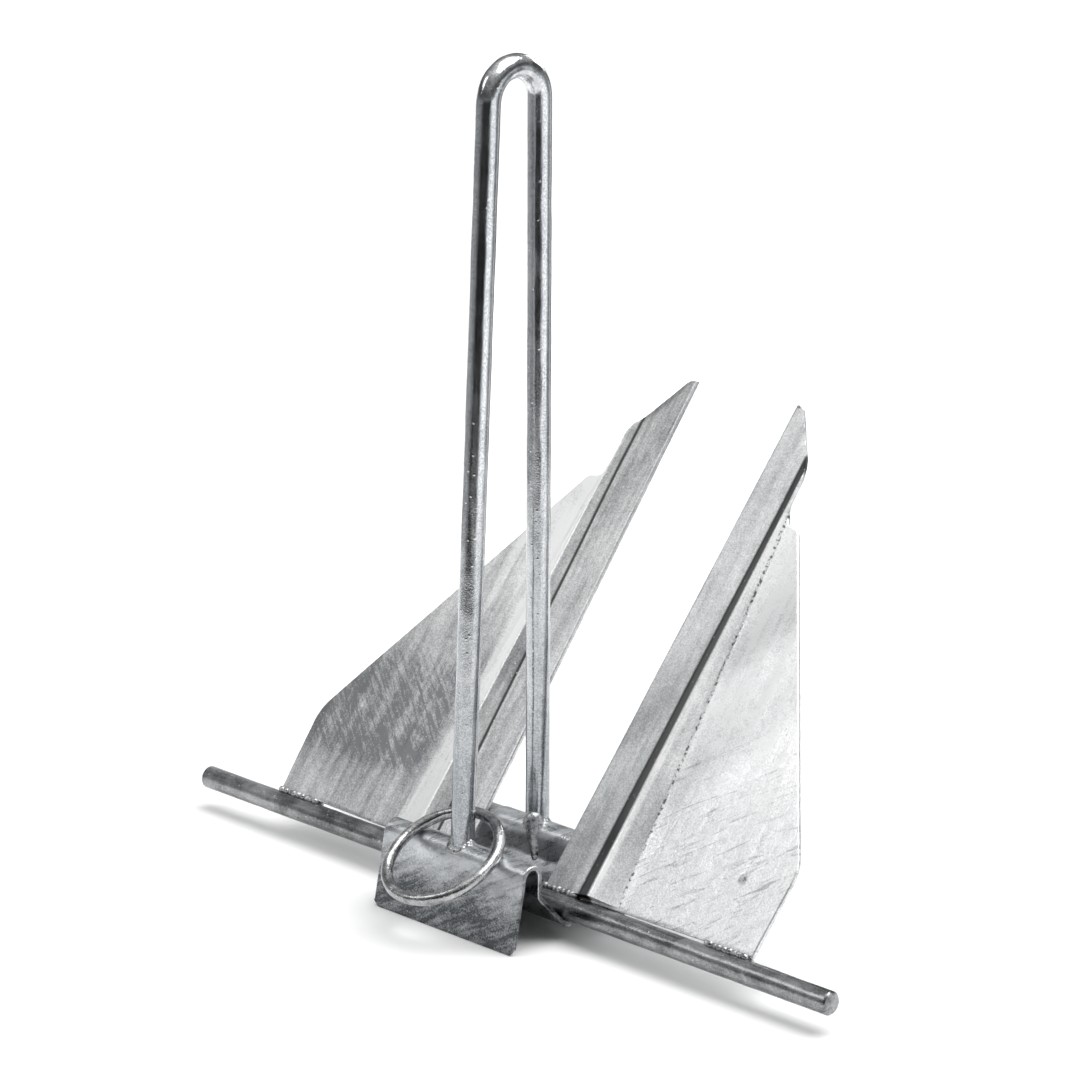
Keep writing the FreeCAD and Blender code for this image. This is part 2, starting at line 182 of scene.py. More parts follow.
class Nodes:
    """Short names for building one material's nodes."""

    def __init__(self, name):
        self.material = bpy.data.materials.new(name)
        self.material.use_nodes = True
        self.tree = self.material.node_tree
        self.shader = next(n for n in self.tree.nodes if n.type == "BSDF_PRINCIPLED")

    def link(self, source, target):
        self.tree.links.new(source, target)

    def feed(self, socket, value):
        if isinstance(value, bpy.types.NodeSocket):
            self.link(value, socket)
        else:
            socket.default_value = value

    def add(self, kind, inputs=(), **settings):
        node = self.tree.nodes.new(kind)
        for key, value in settings.items():
            setattr(node, key, value)
        for key, value in dict(inputs).items():
            self.feed(node.inputs[key], value)
        return node

    def noise(self, vector, scale, detail=4.0, rough=0.55, distortion=0.0):
        return self.add("ShaderNodeTexNoise", {
            "Vector": vector, "Scale": scale, "Detail": detail,
            "Roughness": rough, "Distortion": distortion}).outputs["Fac"]

    def stretch(self, vector, scale, turn=(0, 0, 0)):
        turned = self.add("ShaderNodeVectorRotate", {"Vector": vector, "Rotation": turn},
                          rotation_type="EULER_XYZ").outputs[0]
        return self.add("ShaderNodeMapping", {"Vector": turned, "Scale": scale}).outputs[0]

    def band(self, value, low, high, out_low=0.0, out_high=1.0, smooth=True):
        """out_low up to low, easing over to out_high at high; low may be the larger."""
        return self.add("ShaderNodeMapRange", {
            "Value": value, "From Min": low, "From Max": high,
            "To Min": out_low, "To Max": out_high},
            interpolation_type="SMOOTHSTEP" if smooth else "LINEAR").outputs[0]

    def math(self, kind, one, two=0.0):
        return self.add("ShaderNodeMath", {0: one, 1: two}, operation=kind).outputs[0]

    def plus(self, one, two):
        return self.math("ADD", one, two)

    def minus(self, one, two):
        return self.math("SUBTRACT", one, two)

    def times(self, one, two):
        return self.math("MULTIPLY", one, two)

    def larger(self, one, two):
        return self.math("MAXIMUM", one, two)

    def split(self, vector):
        return self.add("ShaderNodeSeparateXYZ", {"Vector": vector}).outputs

    def mix(self, factor, one, two):
        node = self.add("ShaderNodeMix", data_type="RGBA")
        for number, value in ((0, factor), (6, one), (7, two)):
            self.feed(node.inputs[number], value)
        return node.outputs[2]


def grey(level, warm=0.0):
    return (level * (1 + warm), level, level * (1 - warm), 1)


# cells or waves in a metre
SPANGLE, DROSS, SPECKLE, PITS = 260.0, 170.0, 900.0, 420.0
SHADE = grey(0.025)      # painted shade in the left groove and on the right rib's step, and the dark of pits and the blemish
PALE = grey(0.95)        # dross
MATT_METAL = 0.2         # how metallic the most matt zinc is


def galvanised(name, dark, light, streak_scale, rough, bumps, blotch, shares,
               streak_turn=(0, 0, 0), look=None):
    """Hot-dip zinc: cloudy blotches, fine spangle, streaks, speckle and pin-head dross.

    rough: roughness in the dark and the light streaks.
    bumps: heights of streaks, clouds, speckle and dross, in millimetres.
    shares: how far clouds, streaks, spangle and speckle go from the dark to the light grey.
    look: changes the tone by place, some of it painted light and shade, and gives a mask of
    painted shade and dark pits and a matt mask, or None for each.
    """
    n = Nodes(name)
    where = n.add("ShaderNodeTexCoord").outputs["Object"]
    cloud = n.noise(where, blotch, 5, 0.6, 0.6)
    spangle = n.add("ShaderNodeTexVoronoi", {"Vector": where, "Scale": SPANGLE,
                                             "Randomness": 1.0}).outputs["Color"]
    spangle = n.add("ShaderNodeSeparateColor", {"Color": spangle}).outputs[0]
    streaks = n.noise(n.stretch(where, streak_scale, streak_turn), 1.0, 7, 0.62, 0.25)
    speckle = n.noise(where, SPECKLE, 2, 0.5)
    dross = n.add("ShaderNodeTexVoronoi", {"Vector": where, "Scale": DROSS},
                  feature="F1").outputs["Distance"]

    tone = n.plus(n.times(n.band(cloud, 0.34, 0.68), shares[0]),
                  n.times(n.band(streaks, 0.36, 0.64), shares[1]))
    tone = n.plus(tone, n.times(spangle, shares[2]))
    tone = n.plus(tone, n.times(n.band(speckle, 0.36, 0.66), shares[3]))
    shade = matt = None
    if look:
        tone, shade, matt = look(n, where, tone)
    colour = n.mix(tone, dark, light)
    # painted shade, and the dark of pits and the blemish, mixed into the colour
    if shade:
        colour = n.mix(shade, colour, SHADE)
    colour = n.mix(n.band(dross, 0.16, 0.05, 0, 0.35), colour, PALE)
    n.link(colour, n.shader.inputs["Base Color"])

    gloss = n.plus(n.times(n.band(streaks, 0.3, 0.7), rough[1] - rough[0]), rough[0])
    gloss = n.plus(gloss, n.times(n.band(cloud, 0.4, 0.7), 0.07))
    n.link(gloss, n.shader.inputs["Roughness"])
    n.shader.inputs["Metallic"].default_value = 1.0
    if matt:
        n.link(n.band(matt, 0, 1, 1.0, MATT_METAL, smooth=False), n.shader.inputs["Metallic"])

    height = n.plus(n.times(streaks, bumps[0]), n.times(cloud, bumps[1]))
    height = n.plus(height, n.times(speckle, bumps[2]))
    height = n.plus(height, n.band(dross, 0.2, 0.0, 0, bumps[3]))
    bump = n.add("ShaderNodeBump", {"Height": height, "Strength": 1.0, "Distance": MM})
    n.link(bump.outputs[0], n.shader.inputs["Normal"])
    return n.material


def rib_places(n, where):
    """Distance from the middle plane, height along the fluke, and the rib's fold lines."""
    from_stock = n.add("ShaderNodeVectorMath", {0: where, 1: STOCK},
                       operation="SUBTRACT").outputs[0]
    high = n.add("ShaderNodeVectorMath", {0: from_stock, 1: (0, sin(LEAN), cos(LEAN))},
                 operation="DOT_PRODUCT").outputs["Value"]
    out = n.math("ABSOLUTE", n.split(where)[0])
    groove = n.band(high, FOOT, NECK_HIGH, GROOVE_LOW, GROOVE_TOP, smooth=False)
    crease = n.band(high, FOOT, NECK_HIGH, CREASE_LOW, CREASE_TOP, smooth=False)
    return out, high, groove, crease


def beyond(n, out, fold, start, full):
    """0 at start millimetres outside a fold line, 1 at full; a negative is inside it."""
    return n.band(n.minus(out, fold), start * MM, full * MM)


def fold_line(n, out, fold, width):
    """1 along a fold line, fading to 0 at width millimetres from it."""
    away = n.math("ABSOLUTE", n.minus(out, fold))
    return n.band(away, width * MM, 0.25 * width * MM)


def up_to(n, high, start, end, low=0.0, top=1.0):
    """low at start millimetres up the fluke, top at end."""
    return n.band(high, start * MM, end * MM, low, top)


def wipes(n, where, angle, low, high):
    """Long marks left where the wet zinc was wiped."""
    return n.band(n.noise(n.stretch(where, (30, 60, 260), (LEAN, angle, 0)), 1.0, 6, 0.66, 0.9),
                  low, high)


def left_look(n, where, tone):
    """The left fluke: dark wipe marks low on its wing, pale slope, and a thin line of painted
    shade along the groove's concave corner.
    """
    out, high, groove, crease = rib_places(n, where)
    wing = beyond(n, out, crease, 0, 30)
    marks = n.times(up_to(n, high, 40, 62), up_to(n, high, 150, 90))
    marks = n.times(n.times(wipes(n, where, radians(-40), 0.42, 0.66), marks), wing)
    slope = n.times(beyond(n, out, CREST, -1.5, 1), beyond(n, out, crease, 10, 0))
    upper = n.times(beyond(n, out, CREST, -4, 2), up_to(n, high, 120, 285, 0.0, 0.60))
    lower = n.times(wing, up_to(n, high, 230, 90, 0.0, 0.22))
    lower = n.times(lower, up_to(n, high, 28, 58))
    tone = n.minus(tone, n.times(marks, 0.75))
    tone = n.plus(tone, n.times(slope, 0.60))
    tone = n.minus(n.plus(tone, upper), lower)
    # a thin line of painted shade along the groove's concave corner
    shade = n.times(fold_line(n, out, groove, 1.8), 0.92)
    return tone, shade, n.larger(n.times(slope, 0.8), upper)


def right_look(n, where, tone):
    """The right fluke: bright wing with wipe marks, painted shade on the step, a painted highlight
    along the crest, pitted crease, a blemish.
    """
    out, high, groove, crease = rib_places(n, where)
    wing = beyond(n, out, crease, -1, 4)
    marks = n.times(wipes(n, where, radians(38), 0.53, 0.68), wing)
    marks = n.times(marks, up_to(n, high, 230, 70))
    strip = beyond(n, out, groove, 0, -2)
    slope = n.times(beyond(n, out, CREST, -0.5, 1.5), beyond(n, out, crease, 0, -2))
    # painted shade on the rib's step face, between the groove and the crest
    step_shade = n.times(beyond(n, out, groove, -2.6, -0.4), beyond(n, out, CREST, -0.4, -2.6))

    tone = n.plus(tone, n.times(wing, up_to(n, high, 60, 190, 0.12, 0.46)))
    # painted highlight along the rib's crest
    tone = n.plus(tone, n.times(fold_line(n, out, CREST + 1.5 * MM, 4), 0.5))
    tone = n.minus(tone, n.times(marks, 0.55))
    tone = n.minus(tone, n.times(strip, up_to(n, high, 260, 20, 0.0, 0.26)))

    pits = n.band(n.noise(where, PITS, 2, 0.5), 0.50, 0.60)
    crease_pits = n.times(fold_line(n, out, crease, 1.6), pits)
    here = n.add("ShaderNodeCombineXYZ", {"X": out, "Y": high}).outputs[0]
    blemish = n.add("ShaderNodeVectorMath", {0: here, 1: BLEMISH_AT},
                    operation="DISTANCE").outputs["Value"]
    blemish = n.times(n.band(blemish, 5 * MM, 1.5 * MM), n.band(pits, 0, 1, 0.55, 1.0))
    # painted shade on the step, with the dark of the crease's pits and the blemish
    shade = n.larger(n.times(step_shade, 0.90), n.times(crease_pits, 0.8))
    shade = n.larger(shade, n.times(blemish, 0.8))
    return tone, shade, n.larger(n.times(slope, 0.7), n.times(strip, 0.35))


def crown_look(n, where, tone):
    """The crown: painted highlight, paler on its ridges, and painted shade, darker towards the
    palms' edges.
    """
    return n.plus(tone, n.band(n.split(where)[2], 12 * MM, 56 * MM, -0.40, 0.44)), None, None


def leg_look(n, where, tone):
    """The shank: duller towards its feet."""
    return n.plus(tone, n.band(n.split(where)[2], 60 * MM, 300 * MM, -0.40, 0.10)), None, None


BLEMISH_AT = (188 * MM, 55 * MM, 0)     # out from the middle, and up the right fluke
TILT = (LEAN, 0, 0)
BAR = galvanised(
    "galvanised_bar", grey(0.06, -0.07), grey(0.52, -0.01), streak_scale=(9, 90, 90),
    rough=(0.17, 0.34), bumps=(0.22, 0.22, 0.05, 0.10), blotch=34,
    shares=(0.34, 0.36, 0.10, 0.20))
LEG = galvanised(
    "galvanised_leg", grey(0.30, -0.06), grey(0.82, -0.01), streak_scale=(150, 150, 7),
    rough=(0.11, 0.22), bumps=(0.16, 0.10, 0.05, 0.12), blotch=24,
    shares=(0.20, 0.34, 0.12, 0.34), look=leg_look)
CROWN = galvanised(
    "galvanised_crown", grey(0.08, -0.07), grey(0.66, -0.025), streak_scale=(28, 28, 210),
    streak_turn=(0.3, 0.5, 0), rough=(0.20, 0.36), bumps=(0.22, 0.20, 0.08, 0.10), blotch=40,
    shares=(0.22, 0.40, 0.10, 0.28), look=crown_look)
RIGHT = galvanised(
    "galvanised_right", grey(0.38, -0.03), grey(0.95), streak_scale=(130, 130, 10),
    streak_turn=TILT, rough=(0.30, 0.44), bumps=(0.14, 0.12, 0.10, 0.10), blotch=26,
    shares=(0.22, 0.30, 0.14, 0.34), look=right_look)
LEFT = galvanised(
    "galvanised_left", grey(0.27, -0.03), grey(0.92), streak_scale=(130, 130, 10),
    streak_turn=TILT, rough=(0.26, 0.40), bumps=(0.14, 0.12, 0.10, 0.10), blotch=22,
    shares=(0.22, 0.32, 0.14, 0.32), look=left_look)
WIRE = galvanised(
    "galvanised_wire", grey(0.13, -0.06), grey(0.66), streak_scale=(90, 90, 90),
    rough=(0.14, 0.28), bumps=(0.25, 0.35, 0.06, 0.14), blotch=120,
    shares=(0.30, 0.30, 0.15, 0.25))
WELD = galvanised(
    "galvanised_weld", grey(0.11, -0.06), grey(0.76), streak_scale=(160, 160, 160),
    rough=(0.18, 0.36), bumps=(0.25, 0.45, 0.10, 0.16), blotch=200,
    shares=(0.34, 0.30, 0.14, 0.22))


# ---------------------------------------------------------------- bars and ring

def make_stock():
    """The stock: round bar with lightly burred, chamfered ends and a lumpy zinc skin."""
    half = STOCK_LEN / 2
    chamfer, chamfer_depth, skin_room = 1.3 * MM, 1.15 * MM, 0.12 * MM
    near_end = [inset * MM for inset in (0, 0.35, 0.8, 1.3, 2.4)]
    xs = [-half + inset for inset in near_end]
    xs += steps_to(-half + near_end[-1], half - near_end[-1], 236)[:-1]
    xs += [half - inset for inset in reversed(near_end)]
    radii = []
    for x in xs:
        inset = min(half - abs(x), chamfer)
        radii.append(BAR_RAD - max(0.0, chamfer_depth - inset * 0.9) - skin_room)
    path = [STOCK + Vector((x, 0, 0)) for x in xs]
    bm = bmesh.new()

    def lump(p):
        return 0.16 * MM * wobble(p, 0.012) + 0.10 * MM * wobble(p, 0.004, 3)

    tube(bm, path, radii, 40, lump)
    finish_piece("stock_bar", bm, "flukes", BAR, ("stock",), 30)


def hairpin():
    """Centre line of the shank from the near foot over the bend to the far foot."""
    rise = BEND_Z - FOOT_Z
    splay = atan2(FOOT_Y, rise) - atan2(BEND_RAD, (rise ** 2 + FOOT_Y ** 2 - BEND_RAD ** 2) ** 0.5)
    join = Vector((0, BEND_RAD * cos(splay), BEND_Z + BEND_RAD * sin(splay)))
    foot = Vector((0, FOOT_Y, FOOT_Z))
    leg_steps, bend_steps = 150, 24
    far = [foot.lerp(join, k / leg_steps) for k in range(leg_steps)]
    bend = arc((0, BEND_Z), BEND_RAD, splay, pi / 2, bend_steps)[:-1]
    far += [Vector((0, y, z)) for y, z in bend]
    top = [Vector((0, 0, BEND_Z + BEND_RAD))]
    near = [Vector((0, -p.y, p.z)) for p in far]
    return [STOCK + p for p in near + top + far[::-1]]


def make_shank():
    """The hairpin bar, sunk a little into its welds at both feet."""
    path = hairpin()
    bm = bmesh.new()

    def lump(p):
        height = (p.z - STOCK.z) / (BEND_Z + BEND_RAD)
        runs = 0.20 * MM * wobble((p.x, p.y, p.z * 0.22), 0.006, 5)
        return runs + 0.10 * MM * wobble(p, 0.009, 2) - 0.05 * MM + 0.05 * MM * height

    tube(bm, path, [BAR_RAD - 0.05 * MM] * len(path), 40, lump)
    finish_piece("shank_bar", bm, "shank_and_crown", LEG, ("shank",), 30)


def make_ring():
    """The slip ring: wire bent round and butt welded, under lumpy zinc."""
    bm = bmesh.new()
    across = Vector((1, 0, 0))
    up = Vector((0, cos(RING_LEAN), sin(RING_LEAN)))
    count = 168
    seam, seam_half, seam_high = radians(250), 0.09, 0.32 * MM
    path, radii = [], []
    for k in range(count):
        turn = 2 * pi * k / count
        path.append(RING_AT + (across * cos(turn) + up * sin(turn)) * RING_RAD)
        away = abs((turn - seam + pi) % (2 * pi) - pi)
        radii.append(WIRE_RAD - 0.1 * MM + seam_high * max(0.0, 1 - away / seam_half))

    def lump(p):
        return 0.17 * MM * wobble(p, 0.008, 1) + 0.09 * MM * wobble(p, 0.003, 4)

    tube(bm, path, radii, 28, lump, closed=True)
    finish_piece("ring_wire", bm, "ring", WIRE, ("slip_ring",), 180)


# ---------------------------------------------------------------- crown

def crown_half(lift):
    """One face of the folded sheet from the trough's bottom out to the far palm's edge."""
    ridge, elbow, trough = RIDGE_RAD + lift, ELBOW_RAD - lift, TROUGH_RAD - lift
    elbow_y = FOOT_Y - RIDGE_RAD - ELBOW_RAD
    elbow_z = elbow_y + (ELBOW_RAD - TROUGH_RAD) * 2 ** 0.5
    bottom = arc((0, 0), trough, -pi / 2, -pi / 4, 6)
    bend = arc((elbow_y, elbow_z), elbow, -pi / 4, 0, 6)
    over = arc((FOOT_Y, RIDGE_Z), ridge, pi, PALM_LEAN, 20)
    top = over[-1]
    low = (top[0] + (top[1] + PALM_DROP) * sin(PALM_LEAN) / cos(PALM_LEAN), -PALM_DROP)
    palm = run(top, low, 14)
    ramp, wall = run(bottom[-1], bend[0], 5), run(bend[-1], over[0], 4)
    return bottom + ramp + bend + wall + over + palm + [low]


def swell(x, z):
    """How far the ridge stands proud round a foot, from the weld's heat and extra zinc."""
    middle_x, reach, depth = 4 * MM, 41 * MM, 6 * MM
    along = (x - middle_x) / reach
    if abs(along) >= 1 or z < RIDGE_Z - depth:
        return 0.0
    rim = min(1.0, (1 - along * along) * 3.2)
    lip = min(1.0, (z - RIDGE_Z + depth) / (5 * MM))
    return 0.75 * MM * rim * lip


def make_crown():
    """The crown: one sheet folded to an M, with soft swellings where the legs stand."""
    bm = bmesh.new()
    half = CROWN_LEN / 2
    near_end = [inset * MM for inset in (0, 0.25, 0.6, 1.2, 2.2, 3.2, 4.0)]
    xs = [-half + inset for inset in near_end]
    xs += steps_to(-half + near_end[-1], half - near_end[-1], 80)[:-1]
    xs += [half - inset for inset in reversed(near_end)]
    rings = []
    for x in xs:
        to_end = half - abs(x)
        eased = 0.45 * MM * max(0.0, 1 - to_end / (0.6 * MM)) ** 2     # rounded end edges
        clip = max(0.0, PALM_CUT - to_end)
        ring = []
        for sign in (1, -1):
            lift = sign * (SHEET / 2 - eased)
            profile = crown_half(lift)
            mirror = [(-y, z) for y, z in profile[:0:-1]]
            face = mirror + profile
            for y, z in face if sign > 0 else face[::-1]:
                z = max(z, -PALM_DROP + clip)
                if sign > 0:
                    out = Vector((0, (1 if y > 0 else -1) * (abs(y) - FOOT_Y), z - RIDGE_Z))
                    push = swell(x, z)
                    if push and out.length:
                        out.normalize()
                        y, z = y + out.y * push, z + out.z * push
                waves = 0.12 * MM * wobble((x, y, z), 0.02, 7)
                ring.append(bm.verts.new(STOCK + Vector((x, y, z + waves))))
        rings.append(ring)
    skin(bm, rings, caps=True)
    finish_piece("crown_fold", bm, "shank_and_crown", CROWN, ("crown",), 35)


# ---------------------------------------------------------------- flukes

# corners from the foot round to the tip: distance out, height up the fluke, corner radius, in mm
OUTLINE = ((223, 8, 2.0), (226, 72, 10.0), (97.5, 288, 2.5), (87.5, 290, 3.0),
           (82.5, 301, 6.0), (82.5, 327.5, 8.0), (52.5, 372.5, 3.0), (46, 373.5, 1.0))


def rounded(corners, steps=6):
    """An open outline in metres, with each corner but the first and last rounded."""
    points = [Vector((x, h)) * MM for x, h, _ in corners]
    line = [points[0]]
    for before, at, after, corner in zip(points, points[1:], points[2:], corners[1:]):
        back, on = (before - at), (after - at)
        reach = min(corner[2] * MM, back.length / 2.2, on.length / 2.2)
        first, last = at + back.normalized() * reach, at + on.normalized() * reach
        for k in range(steps + 1):
            t = k / steps
            line.append(first * (1 - t) ** 2 + at * 2 * t * (1 - t) + last * t ** 2)
    line.append(points[-1])
    return line


def outer_edge(line, high):
    """The outline's distance from the middle at a height along the fluke."""
    for one, two in zip(line, line[1:]):
        if one.y <= high <= two.y and two.y > one.y:
            return one.x + (two.x - one.x) * (high - one.y) / (two.y - one.y)
    return line[-1].x


def rib_lines(high):
    """The rib's groove, crease and height at a height along the fluke."""
    t = min(1.0, max(0.0, (high - FOOT) / (NECK_HIGH - FOOT)))
    return (GROOVE_LOW + (GROOVE_TOP - GROOVE_LOW) * t,
            CREASE_LOW + (CREASE_TOP - CREASE_LOW) * t,
            RIB_LOW + (RIB_TOP - RIB_LOW) * t)


SOFTENED = [shift * MM for shift in (-1.2, -0.6, 0.0, 0.6, 1.2)]   # a fold's soft width


def rib_lift(x, high):
    """How far the pressed rib stands proud at a place, with softened folds."""
    groove, crease, peak = rib_lines(high)
    total = 0.0
    for shift in SOFTENED:
        at = x + shift
        if groove < at <= CREST:
            total += (at - groove) / (CREST - groove)
        elif CREST < at < crease:
            total += (crease - at) / (crease - CREST)
    return peak * total / len(SOFTENED)


def fluke_columns(inner, outer, groove, crease):
    """Distances out for one row of the fluke, closer together at its edges and folds."""
    easy = 1.8 * MM
    columns = [inner + inset * MM for inset in (0, 0.35, 0.9, 1.8)]
    columns += steps_to(inner + easy, groove - 3 * MM, 6)
    columns += [groove - easy] + [groove + shift for shift in SOFTENED] + [groove + easy]
    columns += steps_to(groove + easy, CREST - easy, 4)
    columns += [CREST + shift for shift in SOFTENED] + [CREST + easy]
    columns += steps_to(CREST + easy, crease - easy, 5)
    columns += [crease + shift for shift in SOFTENED[:-1]]
    flat = crease + SOFTENED[-2]
    columns += steps_to(flat, max(outer - easy, flat), 16)
    columns += [outer - inset * MM for inset in (0.9, 0.35, 0)]
    ordered = []
    for x in columns:
        x = min(max(x, inner), outer)
        ordered.append(max(x, ordered[-1]) if ordered else x)
    return ordered


def on_fluke(x, high, depth):
    """A place on a fluke: distance out, height up it, and depth behind its middle."""
    return STOCK + Vector((x, depth * cos(LEAN) + high * sin(LEAN),
                           high * cos(LEAN) - depth * sin(LEAN)))


def border(grid):
    """The vertices round a grid's edge."""
    return (grid[0] + [row[-1] for row in grid[1:]] + grid[-1][-2::-1]
            + [row[0] for row in grid[-2:0:-1]])


def fluke_rows(line):
    """Heights of the fluke's rows: even ones, and every corner of the outline."""
    rows = {round(FOOT + (TIP_HIGH - FOOT) * k / 150, 6) for k in range(151)}
    rows |= {round(point.y, 6) for point in line}
    ordered = sorted(rows)
    return [h for k, h in enumerate(ordered) if k == 0 or h - ordered[k - 1] > 0.04 * MM]


def make_fluke(name, sign, material):
    """A pressed sheet with its rib, drawn as a skin on both faces and round its edge."""
    line = rounded(OUTLINE)
    bm = bmesh.new()
    rows = []
    for high in fluke_rows(line):
        inner = INNER_LOW + (INNER_TIP - INNER_LOW) * (high - FOOT) / (TIP_HIGH - FOOT)
        inner += 0.22 * MM * wobble((0, high, sign), 0.004, 8)
        outer = outer_edge(line, high) + 0.22 * MM * wobble((0, high, sign), 0.004, 9)
        groove, crease, _ = rib_lines(high)
        row = []
        for x in fluke_columns(inner, outer, groove, crease):
            lift = rib_lift(x, high)
            lift += 0.25 * MM * wobble((x * sign, high, 0), 0.05, 6)
            rim = min(x - inner, outer - x, high - FOOT)
            rim = 0.55 * MM * max(0.0, 1 - rim / (0.9 * MM)) ** 2    # rounded edges
            row.append((x, high, lift, rim))
        rows.append(row)
    grids = []
    for face in (-1, 1):
        grid = [[bm.verts.new(on_fluke(sign * x, high, face * (SHEET / 2 - rim) - lift))
                 for x, high, lift, rim in row] for row in rows]
        skin(bm, grid, closed_ring=False)
        grids.append(grid)
    skin(bm, [border(grid) for grid in grids])
    bmesh.ops.remove_doubles(bm, verts=bm.verts, dist=0.005 * MM)
    bmesh.ops.dissolve_degenerate(bm, edges=bm.edges, dist=0.005 * MM)
    finish_piece(name + "_sheet", bm, "flukes", material, (name,), 32)


# ---------------------------------------------------------------- welds

def collar_balls(side):
    """A weld all round a foot: two rows of overlapping puddles on the ridge."""
    centre = STOCK + Vector((0, side * FOOT_Y, RIDGE_Z))
    balls = []
    count = 22
    for k in range(count):
        turn = 2 * pi * k / count
        x, y = 8.3 * MM * cos(turn), 8.0 * MM * sin(turn)
        high = RIDGE_RAD + SHEET / 2 - abs(y) * 0.62
        size = (2.2 + 0.5 * wobble((k, side, 0), 1.7)) * MM
        balls.append((centre + Vector((x, y, high + 0.2 * MM)), size))
        balls.append((centre + Vector((x * 0.93, y * 0.93, high + 2.2 * MM)), size * 0.7))
    return balls


def on_ridge(side, drops):
    """Balls (x, y, z, radius, in mm) placed from the top of a ridge at its foot."""
    at = STOCK + Vector((0, side * FOOT_Y, RIDGE_Z + RIDGE_RAD))
    return [(at + Vector((x, y, z)) * MM, size * MM) for x, y, z, size in drops]


def near_weld():
    """The near foot's weld, with spatter on the ridge."""
    spatter = ((10, -3, 0.6, 1.2), (13, -1, 0.8, 0.9), (-11, -2, 0.8, 1.0), (16, 1, 0.9, 0.7),
               (-9, -5, -0.2, 1.1), (7, -6, 0.2, 1.0), (9, 4, 0.6, 1.2))
    blobs("near_foot_weld", collar_balls(-1) + on_ridge(-1, spatter), "shank_and_crown",
          "near_shank_weld")


def far_weld():
    """The far foot's weld, with drips and a tail of zinc down the trough's side."""
    drips = [(8, -4, 1, 1.5), (11, -3, 1, 1.1), (-8, -3, 1.2, 1.3), (5, 2, 2, 1.8),
             (13, -1, 0.9, 0.9), (9, 3, 0.8, 1.3), (7, -7, -1, 1.6), (6, -8.6, -7, 1.4)]
    tail_balls = 22
    for k in range(tail_balls):
        t = k / (tail_balls - 1)
        drips.append((2 + 5 * t + 0.4 * sin(k * 1.9), -5.6 - 2.6 * t, 3 - 25 * t, 6.7 - 3.9 * t))
    blobs("far_foot_weld", collar_balls(1) + on_ridge(1, drips), "shank_and_crown",
          "far_shank_weld")


def bead(name, node, start, length, sign, seed):
    """Rippled beads on both faces of a fluke's foot; start and length in mm."""
    spacing, depth, high = 1.5, 3.0 * MM, 8.6 * MM
    balls = []
    steps = int(length / spacing)
    for face in (-1, 1):
        for k in range(steps + 1):
            x = start + length * k / steps
            ripple = 2.0 + 0.45 * sin(k * 2.3 + seed) + 0.5 * wobble((k, seed, face), 2.1)
            balls.append((on_fluke(sign * x * MM, high, face * depth), ripple * MM))
    blobs(name, balls, "flukes", node, 0.5)


def zinc_drips():
    """Beads of zinc that set where it ran off: under the trough's end and on a fluke's tip."""
    low = STOCK + Vector((CROWN_LEN / 2 - 2.5 * MM, 0, -TROUGH_RAD - SHEET / 2))
    nub = [(low + Vector((0.3 * k, 0.6 * k, -0.5 * k)) * MM, (2.3 - 0.3 * k) * MM)
           for k in range(3)]
    blobs("trough_drip", nub, "shank_and_crown", None, 0.35)
    tip = on_fluke(47.5 * MM, TIP_HIGH - MM, 0)
    drops = [(tip, 1.9 * MM), (tip + Vector((1.5, -0.4, 0.2)) * MM, 1.5 * MM)]
    blobs("tip_drip", drops, "flukes", None, 0.3)


# ---------------------------------------------------------------- put together

make_stock()
make_shank()
make_ring()
make_crown()
make_fluke("right_fluke", 1, RIGHT)
make_fluke("left_fluke", -1, LEFT)
near_weld()
far_weld()
zinc_drips()
for side, sign in (("right", 1), ("left", -1)):
    bead(side + "_inner_bead", side + "_inner_weld", 41, 27, sign, 1.0 + sign)
    bead(side + "_outer_bead", side + "_outer_weld", 186, 34, sign, 2.5 + sign)


# ---------------------------------------------------------------- floor, light, camera

def add_floor():
    """A plain pale floor, just under the palms' edges."""
    bm = bmesh.new()
    bmesh.ops.create_grid(bm, x_segments=1, y_segments=1, size=30)
    floor = add_mesh("floor", bm)
    floor.location.z = -0.2 * MM
    n = Nodes("floor")
    n.shader.inputs["Base Color"].default_value = grey(0.9)
    n.shader.inputs["Roughness"].default_value = 0.9
    n.shader.inputs["Specular IOR Level"].default_value = 0.1
    floor.data.materials.append(n.material)


def add_light(name, at, target, size, power):
    """A rectangular lamp at a place, turned to a target."""
    data = bpy.data.lights.new(name, "AREA")
    data.shape, data.size, data.size_y, data.energy = "RECTANGLE", size[0], size[1], power
    light = link_new(name, data)
    light.location = at
    light.rotation_euler = (Vector(target) - Vector(at)).to_track_quat("-Z", "Y").to_euler()


def add_sun():
    """One broad overhead light that keeps the floor even."""
    data = bpy.data.lights.new("overhead", "SUN")
    data.energy, data.angle = 2.55, radians(55)
    link_new("overhead", data).rotation_euler = (radians(-12), radians(14), 0)


def round_wall(name, radius, height):
    """A round upright wall about the object, with no material yet."""
    bm = bmesh.new()
    around = arc((0, 0), radius, 0, 2 * pi, 72)[:-1]
    skin(bm, [[bm.verts.new((x, y, z)) for x, y in around] for z in (0, height)])
    return add_mesh(name, bm)


def glow(wall, n, colour, strength):
    """Let a wall shine evenly, as part of the staging."""
    shine = n.add("ShaderNodeEmission", {"Color": colour, "Strength": strength})
    out = next(node for node in n.tree.nodes if node.type == "OUTPUT_MATERIAL")
    n.link(shine.outputs[0], out.inputs["Surface"])
    wall.data.materials.append(n.material)


def add_backdrop():
    """White paper far behind, so that a level view doesn't look past the floor's edge."""
    wall = round_wall("backdrop", 14.0, 9.0)
    wall.visible_diffuse = wall.visible_glossy = wall.visible_shadow = False
    glow(wall, Nodes("backdrop"), grey(1.0), 1.0)


